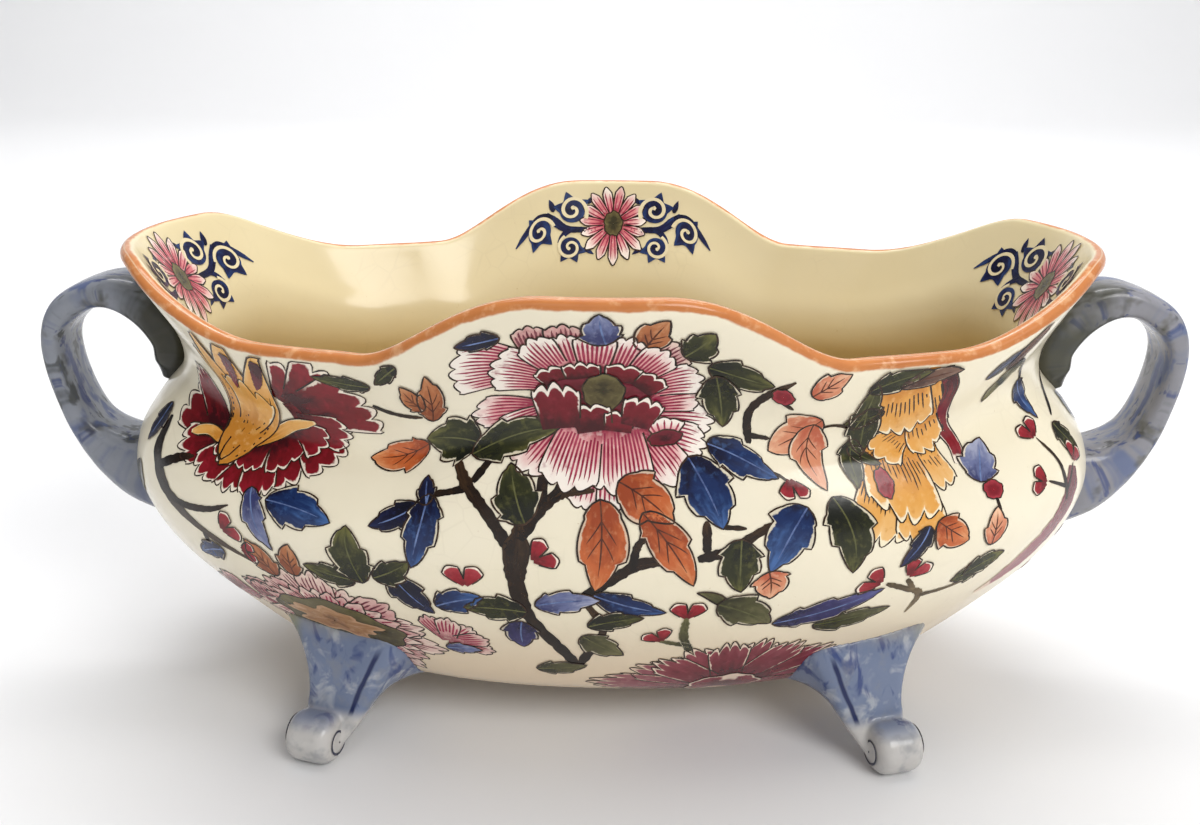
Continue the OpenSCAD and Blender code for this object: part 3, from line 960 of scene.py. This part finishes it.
UPPER_LEAVES = (
    (-37, 200, 17, 7, 172, "navy"), (0, 201, 13, 14, 100, "lilac"),
    (15, 198, 15, 12, 60, "rust"), (28, 196, 15, 12, 55, "green"),
    (44, 189, 26, 11, 8, "green"), (39, 173, 22, 16, 290, "green"),
    (-72, 202, 12, 6, 200, "green"), (71, 170, 24, 17, 228, "peach"),
    (80, 160, 25, 13, 282, "peach"), (76, 201, 17, 10, 50, "peach"))
RIGHT_LEAVES = (
    (113, 110, 18, 8, 238, "navy"), (128, 115, 16, 13, 325, "orange"),
    (150, 143, 19, 14, 55, "lilac"), (147, 113, 15, 10, 85, "peach"),
    (148, 95, 17, 10, 25, "green"), (142, 91, 13, 10, 200, "green"),
    (160, 180, 18, 11, 245, "green"), (158, 200, 20, 10, 65, "brown_pink"),
    (184, 156, 20, 8, 290, "blue"), (200, 134, 20, 10, 300, "green"),
    (224, 140, 16, 7, 280, "navy"), (208, 176, 18, 9, 110, "green"),
    (150, 197, 16, 8, 30, "navy"))
LOW_LEAVES = (
    (54, 83, 25, 16, 332, "olive"), (87, 84, 40, 13, 22, "purple"),
    (100, 77, 28, 12, 14, "olive"), (-72, 89, 22, 15, 300, "navy"),
    (-54, 87, 20, 12, 18, "blue"), (-63, 57, 14, 8, 0, "lilac"),
    (-91, 106, 24, 15, 95, "green"), (-103, 95, 20, 11, 168, "green"),
    (-77, 100, 18, 10, 30, "green"), (-133, 96, 18, 11, 112, "rust"),
    (-118, 98, 16, 10, 78, "rust"), (-20, 48, 20, 9, 10, "olive"))
LEFT_LEAVES = (
    (-129, 116, 25, 10, 292, "lilac"), (-112, 123, 28, 15, 350, "blue"),
    (-198, 137, 19, 9, 262, "navy"), (-214, 178, 18, 9, 70, "green"),
    (-206, 110, 18, 10, 250, "green"), (-92, 200, 22, 7, 175, "green"),
    (-160, 92, 18, 9, 200, "blue"))
END_LEAVES = (
    (222, 92, 20, 10, 60, "green"), (232, 62, 24, 12, 20, "blue"),
    (208, 72, 22, 12, 150, "orange"), (262, 66, 22, 12, 160, "olive"),
    (246, 48, 20, 10, 270, "purple"), (268, 92, 18, 9, 110, "navy"))


def paint_middle(m, s):
    """The brown trunk in the middle with its leaves and buds."""
    branches(m, s, (
        (((-11, 47), (-19, 62), (-28, 80), (-31, 97), (-30, 112), (-29, 124)),
         (5, 5.5, 5.5, 6.5, 9, 5)),
        (((-11, 50), (-4, 64), (0, 76), (-8, 92)), (5, 4, 3, 4)),
        (((-31, 110), (-40, 125), (-49, 138), (-56, 153)), (5, 4, 4.5, 3)),
        (((-48, 137), (-56, 136), (-63, 136)), (3.5, 3, 3)),
        (((-47, 139), (-40, 148), (-35, 153)), (3.5, 3, 2)),
        (((-29, 116), (-22, 127), (-14, 133), (-3, 134)), (5, 5, 4, 3)),
        (((-22, 127), (-20, 143), (-11, 150)), (4.5, 3, 3)),
        (((-18, 130), (-11, 141), (-8, 143)), (3.5, 3, 3)),
        (((-8, 92), (3, 100), (13, 107), (25, 108)), (4, 4, 4.5, 3)),
        (((10, 104), (12, 114), (16, 118)), (3.5, 3, 2)),
        (((33, 109), (44, 113), (55, 121), (62, 126)), (4, 4, 3.5, 3)),
        (((36, 112), (36, 124)), (3.5, 3)), (((46, 112), (50, 104)), (3, 2)),
        (((40, 122), (50, 122)), (2, 2))))
    leaves_of(m, s, MIDDLE_LEAVES)
    bud(m, (s - 24, 108), 9, 35, 3.5)
    bud(m, (s - 50, 96), 10, 90)


def paint_upper(m, s):
    """Leaves and twigs between the great peony and the rim."""
    branches(m, s, (
        (((54, 158), (51, 172), (54, 184), (62, 197)), (3.5, 3, 3, 2.5)),
        (((56, 186), (66, 184)), (2, 2)), (((54, 162), (62, 164)), (3, 2)),
        (((76, 175), (86, 178), (97, 174)), (2, 2, 2)),
        (((57, 147), (64, 147), (69, 144)), (1.8, 1.8, 1.4)),
        (((-84, 188), (-74, 181), (-66, 176)), (2.6, 2.2, 2))))
    leaves_of(m, s, UPPER_LEAVES)
    disc(m, (s + 60, 188), 4.6, 3.2, "berry", 3, 10)
    bud(m, (s + 69, 145), 8, 280)


def paint_right(m, s):
    """Twigs, berries and leaves towards the right handle."""
    branch(m, moved(s, ((195, 124), (188, 108), (176, 92), (160, 76))),
           (9, 12, 12, 7), "faded_crimson", 1)
    branches(m, s, (
        (((188, 112), (186, 128), (180, 141)), (2.4, 1.8, 1.2)),
        (((187, 118), (176, 124)), (1.8, 1.2)), (((188, 116), (196, 125)), (1.8, 1.2)),
        (((148, 128), (149, 118)), (1.4, 1.2)),
        (((184, 164), (172, 180), (160, 192)), (1.4, 1.8, 2.2)),
        (((198, 144), (210, 152), (222, 160)), (1.4, 1.8, 2.0))))
    branches(m, s, (
        (((106, 93), (116, 89), (124, 85), (126, 74)), (2.0, 2.4, 3, 2.6)),
        (((114, 94), (120, 88)), (2, 2)),
        (((124, 84), (138, 86), (152, 92)), (2.4, 1.6, 1.4))), "pale_bark")
    leaves_of(m, s, RIGHT_LEAVES)
    buds(m, s, ((179, 142, 8, 100), (174, 124, 8, 150), (197, 126, 8, 50),
                (103, 94, 9, 160), (114, 96, 9, 60)))
    disc(m, (s + 148, 130), 4.2, 3.8, "berry", 3)


def paint_low(m, s):
    """Leaves and buds low on the belly."""
    branches(m, s, ((((38, 60), (33, 70), (32, 82)), (4, 4, 3.4)),
                    (((37, 64), (28, 66), (22, 68)), (3, 2.6, 2))), "olive")
    leaves_of(m, s, LOW_LEAVES)
    buds(m, s, ((32, 82, 9, 90), (24, 68, 8, 120)))
    leaf(m, (s + 40, 91), 14, 5, 150, "olive", 40, 0, 2, 0)


def paint_left(m, s):
    """The dark branch and the leaves under the flame peony."""
    branches(m, s, (
        (((-191, 142), (-188, 128), (-176, 114), (-158, 102), (-136, 92)),
         (3, 6, 6, 4, 2.5)),
        (((-186, 122), (-174, 130), (-166, 134)), (4, 4, 2.5)),
        (((-182, 118), (-168, 112), (-152, 114), (-142, 119)), (4, 3.2, 3, 2)),
        (((-158, 101), (-160, 88)), (3, 2))))
    leaves_of(m, s, LEFT_LEAVES)
    buds(m, s, ((-146, 106, 9, 30), (-140, 98, 7, 350)))


def paint_end(m, s):
    """A sprig under a handle, between the two sides of the painting."""
    branches(m, s, ((((204, 60), (224, 66), (244, 58), (264, 54)), (2, 3.4, 3.4, 2)),
                       (((226, 66), (222, 84)), (2.4, 1.6)),
                       (((256, 56), (266, 84)), (2.4, 1.6))))
    leaves_of(m, s, END_LEAVES)
    buds(m, s, ((240, 72, 9, 100), (214, 88, 8, 120)))


OUTER_MOTIFS = (
    ("branches_middle", paint_middle), ("leaves_upper", paint_upper),
    ("sprays_right", paint_right), ("leaves_low", paint_low), ("branch_left", paint_left),
    ("sprig_end", paint_end), ("great_peony", great_peony), ("flame_peony", flame_peony),
    ("ochre_peony", ochre_peony), ("open_peony", open_peony), ("low_peony", low_peony))


def paint_outside(paints):
    """The front painting, and the same turned half round for the hidden back."""
    for side, shift in (("front", 0.0), ("back", GIRTH / 2)):
        for name, draw in OUTER_MOTIFS:
            motif = Motif(f"{name}_{side}")
            draw(motif, shift)
            motif.finish(paints)


def paint_inside(paints):
    """A daisy between two navy arabesques inside each crest and each end."""
    t, size = 187, 17
    for name, s in (("crest_back", GIRTH / 2), ("end_left", GIRTH * 0.75),
                    ("crest_front", 0.0), ("end_right", GIRTH * 0.25)):
        motif = Motif(f"daisy_scrolls_{name}", inner=True)
        daisy(motif, (s, t), size)
        for way in (-1, 1):
            arabesque(motif, s, t, way)
        motif.finish(paints)


# ------------------------------------------------------- body, handles, feet
def build_body(material):
    """The wall, with finer rings round the lip. Each point knows its distance from
    the top of the lip and which face it is on, for the orange band."""
    around, out_rows, lip_rows, in_rows = 384, 110, 12, 84
    far = 200   # drop of the two points in the middle of the base
    angle = np.linspace(0, TAU, around, endpoint=False)

    def ring(row, off, up):
        rows = np.full(around, float(row))
        return (outside(angle, rows) + off * out_of_wall(angle, rows)
                + up * along_wall(angle, rows))

    rings = [ring(row, 0, 0) for row in np.linspace(0, TOP_ROW, out_rows + 1)]
    for k in range(1, lip_rows):
        a = math.pi * k / lip_rows
        rings.append(ring(TOP_ROW, LIP * (math.cos(a) - 1), LIP * math.sin(a)))
    rings += [ring(row, -WALL, 0) for row in np.linspace(TOP_ROW, 0, in_rows + 1)]
    rings = np.array(rings)
    steps = np.linalg.norm(np.diff(rings, axis=0), axis=2)
    climb = np.concatenate([np.zeros((1, around)), np.cumsum(steps, axis=0)])
    lip = out_rows + lip_rows // 2
    drops = np.abs(climb - climb[lip])
    inner = np.repeat((np.arange(len(rings)) > lip)[:, None] * 1.0, around, 1)
    tags = np.stack([np.zeros_like(drops), drops, inner], -1).reshape(-1, 3)
    tags = np.concatenate([tags, [(0, far, 0), (0, far, 1)]])
    points, faces = skin(rings)
    body = add_mesh("bowl_body", points, faces, [material],
                    tags={"place": tags})
    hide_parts("bowl")


STRAP_WIDTH, STRAP_THICKNESS, STRAP_POWER = 26.0, 9.5, 3.4
# x, z, then half thickness and half width as shares of the strap's own
STRAP_PATH = np.array([
    (181, 84, 3.40, 1.25), (198.5, 91.5, 3.25, 1.20), (210, 98, 2.30, 1.10),
    (219.5, 108, 1.45, 1.00), (225, 120.5, 1.10, 1.00), (228.6, 137, 1.00, 1.00),
    (228.2, 150, 1.05, 1.00), (222.5, 160, 1.25, 1.00), (211, 166.5, 1.25, 1.00),
    (199, 167, 1.65, 1.02), (187, 160.5, 1.95, 1.05), (180.5, 148.5, 1.70, 1.02),
    (180.5, 138.5, 1.60, 0.90), (183, 130.5, 0.85, 0.50)])


def rounded_ring(half_x, half_y, power, count):
    """A closed ring between an oval (power 2) and a rectangle (high power)."""
    t = np.linspace(0, TAU, count, endpoint=False)
    c, s = np.cos(t), np.sin(t)
    r = ((abs(c) / half_x) ** power + (abs(s) / half_y) ** power) ** (-1 / power)
    return np.stack([r * c, r * s], -1)


def end_x(y, z):
    """x of the outside of an end of the body, at a given y and z. It finds the row by
    halving, for an angle that gets closer each time."""
    passes, halvings = 3, 18
    angle = np.zeros_like(y)
    for _ in range(passes):
        low, high = np.zeros_like(y), np.full_like(y, float(TOP_ROW))
        for _ in range(halvings):
            mid = (low + high) / 2
            under = outside(angle, mid)[:, 2] < z
            low, high = np.where(under, mid, low), np.where(under, high, mid)
        row = (low + high) / 2
        share = np.minimum(1, abs(y) / (HALF_DEPTH * spline(PROFILE, row)[:, 0]))
        angle = np.arcsin(share ** (PLAN_POWER / 2))
    return outside(angle, row)[:, 0]


def build_handle(name, side, material):
    """A strap swept along its path, whose ends stay in the wall of the body."""
    steps, sides = 168, 48
    last = len(STRAP_PATH) - 1
    rings, tags = [], []
    for at in np.linspace(0, last, steps + 1):
        p = spline(STRAP_PATH, at)
        ahead = spline(STRAP_PATH, min(last, at + 0.05))
        along = unit((ahead - spline(STRAP_PATH, max(0, at - 0.05)))[:2])
        q = rounded_ring(STRAP_THICKNESS / 2 * p[2], STRAP_WIDTH / 2 * p[3],
                         STRAP_POWER, sides)
        x, z = p[0] - along[1] * q[:, 0], p[1] + along[0] * q[:, 0]
        x = np.maximum(x, end_x(q[:, 1], z) - BITE)
        rings.append(np.stack([side * x, q[:, 1], z], -1))
        tags.append(np.stack([np.full(sides, at / last), q[:, 1] / (STRAP_WIDTH / 2),
                              q[:, 0] / (STRAP_THICKNESS / 2)], -1))
    points, faces = skin(rings)
    if side > 0:
        faces = [f[::-1] for f in faces]
    handle = add_mesh(name, points, faces, [material],
                      tags={"strap": capped(tags)})
    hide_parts(name)


# the toe is let down by TOE_DROP and cut level, so that it stands on a small flat
TOE_RADIUS, TOE_LENGTH, TOE_DROP, TOE_EDGE = 10.0, 19.0, 0.25, 5.0
TOE_PLACE = np.array([112.0, -82.0])
FOOT_TURN, FOOT_SPLAY = 16.0, 35.0
WAIST_HEIGHT = 20.0
FACE_RIGHT = heading(FOOT_TURN)
FACE_OUT = np.array([FACE_RIGHT[1], -FACE_RIGHT[0]])
SPLAY_OUT = heading(FOOT_SPLAY - 90)


def under_z(x, y):
    """z of the underside of the body."""
    share = ((abs(x) / HALF_LENGTH) ** PLAN_POWER
             + (abs(y) / HALF_DEPTH) ** PLAN_POWER) ** (1 / PLAN_POWER)
    rows = np.linspace(0, BELLY_ROW, 400)
    p = spline(PROFILE, rows)
    return np.interp(share, p[:, 0], p[:, 1]) * FULL_HEIGHT


def foot_plan(setback, shift, half_width, thickness, count):
    """A level ring of the foot, set back from the toe and shifted along it."""
    front = TOE_PLACE - setback * SPLAY_OUT - shift * FACE_RIGHT
    centre = front - FACE_OUT * thickness / 2
    q = rounded_ring(half_width, thickness / 2, 6, count)
    return centre + q[:, :1] * FACE_RIGHT - q[:, 1:] * FACE_OUT


def foot_skin():
    """Points and faces of a foot above its toe. Its top follows the underside."""
    count, rings = 56, []
    for setback, shift, half_width, thickness, z in (
            (0.5, 0.5, 8.4, 6, 4.5), (2, 1.6, 9.8, 9.5, 9), (4.5, 2.6, 11.6, 13.5, 14.5)):
        plan = foot_plan(setback, shift, half_width, thickness, count)
        rings.append(np.column_stack([plan, np.full(count, z)]))
    for t in np.linspace(0, 1, 25):
        plan = foot_plan(6.5 + 9.1 * t ** 0.8, (1 - t) * (3.3 + 8 * t),
                         13.3 + 13.7 * t ** 1.1, 16 + 26 * t ** 0.75, count)
        top = under_z(*plan.T) + BITE
        rings.append(np.column_stack([plan, WAIST_HEIGHT + (top - WAIST_HEIGHT) * t]))
    for share in np.linspace(0.9, 0.1, 9):
        inside = plan.mean(0) + (plan - plan.mean(0)) * share
        rings.append(np.column_stack([inside, under_z(*inside.T) + BITE]))
    return skin(rings)


def on_toe(x, r, a):
    """A point at x along the axis of the toe, r out from it, at angle a from the top."""
    plan = TOE_PLACE + FACE_RIGHT * x + FACE_OUT * r * math.sin(a)
    return np.array([*plan, TOE_RADIUS - TOE_DROP + r * math.cos(a)])


def toe_skin():
    """Points and faces of the rolled toe, with rounded edges."""
    half = TOE_LENGTH / 2
    end = [(half - TOE_EDGE + TOE_EDGE * math.cos(b),
            TOE_RADIUS - TOE_EDGE + TOE_EDGE * math.sin(b))
           for b in np.linspace(0, math.pi / 2, 9)]
    profile = [(half, 0.01)] + end + [(-x, r) for x, r in end[::-1]] + [(-half, 0.01)]
    return skin([[on_toe(x, r, a) for a in np.linspace(0, TAU, 56, endpoint=False)]
                 for x, r in profile])


def foot_mesh():
    """One fused and softened mesh of a foot, in mm, for the front right corner."""
    stem, stem_faces = foot_skin()
    toe, toe_faces = toe_skin()
    voxel, rounds = 0.8, 7
    mesh = bpy.data.meshes.new("foot_rough")
    points = np.concatenate([stem, toe])
    faces = [tuple(int(i) for i in f) for f in stem_faces]
    faces += [tuple(int(i) + len(stem) for i in f) for f in toe_faces]
    mesh.from_pydata(points.tolist(), [], faces)
    rough = put("foot_rough", mesh)
    fuse = rough.modifiers.new("fuse", "REMESH")
    fuse.mode, fuse.voxel_size = "VOXEL", voxel
    soften = rough.modifiers.new("soften", "SMOOTH")
    soften.factor, soften.iterations = 0.5, rounds
    depsgraph = bpy.context.evaluated_depsgraph_get()
    made = rough.evaluated_get(depsgraph).to_mesh()
    points = np.array([v.co[:] for v in made.vertices])
    faces = [tuple(p.vertices) for p in made.polygons]
    rough.evaluated_get(depsgraph).to_mesh_clear()
    bpy.data.objects.remove(rough)
    bpy.data.meshes.remove(mesh)
    return points, faces


def build_feet(paints):
    """Four feet mirrored from one, each with its own glaze and toe lines."""
    points, faces = foot_mesh()
    points[:, 2] = np.maximum(points[:, 2], 0.0)
    plan = points[:, :2] - TOE_PLACE
    tags = np.column_stack([plan @ FACE_RIGHT, points[:, 2], plan @ FACE_OUT])
    for name, sx, sy, seed, olive in (
            ("foot_front_left", -1, 1, 1.0, 0.9), ("foot_front_right", 1, 1, 2.0, 0.3),
            ("foot_back_left", -1, -1, 3.0, 0.5), ("foot_back_right", 1, -1, 4.0, 0.5)):
        turned = faces if sx * sy > 0 else [f[::-1] for f in faces]
        foot = add_mesh(name, points * (sx, sy, 1), turned,
                        [foot_glaze(name + "_glaze", seed, olive)], tags={"foot": tags})
        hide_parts(name)
        toe_lines(name, sx, sy, paints)


def toe_lines(foot, sx, sy, paints):
    """The spiral eyes on the two ends of a toe."""
    lift, width, count = 0.25, 0.9, 60
    outermost, innermost, start, turns = 7.4, 1.8, -0.9, 1.3
    share = np.linspace(0, 1, count)
    points, faces = [], []
    for end in (-1, 1):
        first = len(points)
        for r, a in zip(outermost - (outermost - innermost) * share,
                        start + end * turns * TAU * share):
            over = max(0.0, r - (TOE_RADIUS - TOE_EDGE))
            x = TOE_LENGTH / 2 - TOE_EDGE + math.sqrt(max(0.0, TOE_EDGE ** 2 - over ** 2))
            at = on_toe(end * (x + lift), r, a)
            way = unit(on_toe(0, r + 1, a) - on_toe(0, r, a))
            points += [at - way * width / 2, at + way * width / 2]
        faces += [(a, a + 1, a + 3, a + 2)
                  for a in range(first, first + 2 * (count - 1), 2)]
    add_mesh(foot + "_eye_lines", np.array(points) * (sx, sy, 1), faces,
             [paints["navy_ink"]], tags={"paint": np.zeros((len(points), 3))})


# ------------------------------------------------------- floor, light, camera
def build_stage():
    """A pale floor that curves up into a backdrop far behind the bowl."""
    half_width, front, bend_at, radius, top = 12.0, -12.0, 2.2, 1.2, 5.0
    a = np.linspace(0, math.pi / 2, 25)
    line = [(front, 0.0)] + [(bend_at + radius * math.sin(b), radius * (1 - math.cos(b)))
                             for b in a] + [(bend_at + radius, top)]
    points = [(x, y, z) for y, z in line for x in (-half_width, half_width)]
    faces = [(2 * k, 2 * k + 1, 2 * k + 3, 2 * k + 2) for k in range(len(line) - 1)]
    mesh = bpy.data.meshes.new("floor")
    mesh.from_pydata(points, [], faces)
    mesh.polygons.foreach_set("use_smooth", [True] * len(faces))
    floor = put("floor", mesh)
    g = Glaze("pale_floor", roughness=0.75, coat=0.0)
    g.shader.inputs["Specular IOR Level"].default_value = 0.2
    mesh.materials.append(g.finish(g.mix(g.noise(400), "#e9e9e9", "#e6e6e7"),
                                   bump=0.0))


def stand(made, place, right, up, back):
    """Puts a light or the camera at a place, with its back turned to one way."""
    made.matrix_world = Matrix.Translation(place) @ Matrix(
        np.column_stack([right, up, back]).tolist()).to_4x4()


def area_light(name, place, aim, size, watts, colour):
    data = bpy.data.lights.new(name, "AREA")
    data.shape, data.size, data.size_y = "ELLIPSE", size[0], size[1]
    data.energy, data.color = watts, colour
    back = unit(np.array(place, float) - np.array(aim, float))
    right = unit(np.cross((0.0, 0.0, 1.0), back))
    stand(put(name, data), place, right, np.cross(back, right), back)


def build_light():
    """A soft room that is dimmer towards the left end, and four soft lamps."""
    dim, bright = 0.12, 0.60
    world = bpy.data.worlds.new("soft_room")
    world.use_nodes = True
    links, nodes = world.node_tree.links, world.node_tree.nodes
    back = nodes["Background"]
    back.inputs["Color"].default_value = (0.96, 0.97, 1.0, 1.0)
    way = nodes.new("ShaderNodeTexCoord")
    parts = nodes.new("ShaderNodeSeparateXYZ")
    level = nodes.new("ShaderNodeMapRange")
    level.inputs["From Min"].default_value = -1.0
    level.inputs["To Min"].default_value = dim
    level.inputs["To Max"].default_value = bright
    links.new(way.outputs["Generated"], parts.inputs[0])
    links.new(parts.outputs["X"], level.inputs["Value"])
    links.new(level.outputs[0], back.inputs["Strength"])
    bpy.context.scene.world = world
    bowl, wall = (0.0, 0.0, 0.10), (0.0, 2.8, 0.6)
    for name, place, aim, size, watts, colour in (
            ("key", (1.1, -1.5, 1.6), bowl, (1.3, 1.0), 27.0, (1.0, 0.99, 0.97)),
            ("fill", (-0.6, -1.8, 1.2), bowl, (1.2, 1.0), 2.5, (0.97, 0.98, 1.0)),
            ("top", (0.0, 0.3, 2.2), bowl, (2.4, 1.8), 21.0, (1.0, 1.0, 1.0)),
            ("backdrop", (0.0, 0.9, 2.6), wall, (3.0, 1.0), 66.0, (1.0, 1.0, 1.0))):
        area_light(name, place, aim, size, watts, colour)
    bpy.context.scene.view_settings.view_transform = "Standard"


def build_camera():
    """The photograph's viewing angle: a little above the rim, looking down at it."""
    place = np.array([7.85, -470.7, 286.1]) * MM
    pitch, yaw, roll = 0.3476, -0.0244, 0.0036   # radians
    ahead = np.array([math.sin(yaw) * math.cos(pitch), math.cos(yaw) * math.cos(pitch),
                      -math.sin(pitch)])
    right = np.array([math.cos(yaw), -math.sin(yaw), 0.0])
    up = np.cross(right, ahead)
    right, up = (right * math.cos(roll) + up * math.sin(roll),
                 up * math.cos(roll) - right * math.sin(roll))
    data = bpy.data.cameras.new("camera")
    data.sensor_width, data.lens = 36.0, 35.53
    data.clip_start, data.clip_end = 0.01, 50.0
    camera = put("camera", data)
    stand(camera, place, right, up, -ahead)
    bpy.context.scene.camera = camera


build_camera()
build_light()
build_stage()
build_body(body_glaze())
# The left handle's colours are all darker than the right's: painted shade for the dimmer left end
# of the bowl, over the two handles' own differing sponging.
build_handle("handle_left", -1, sponged(
    "handle_left_glaze", ("#6e727c", "#9498a0", "#4e5a80", "#2b386a"), "#3c3824",
    "#24261e", 1.0))
build_handle("handle_right", 1, sponged(
    "handle_right_glaze", ("#7c7c80", "#9a9aa2", "#626e90", "#36467a"), "#4c4a34",
    "#383a38", 9.0))
paints = make_paints()
build_feet(paints)
paint_outside(paints)
paint_inside(paints)
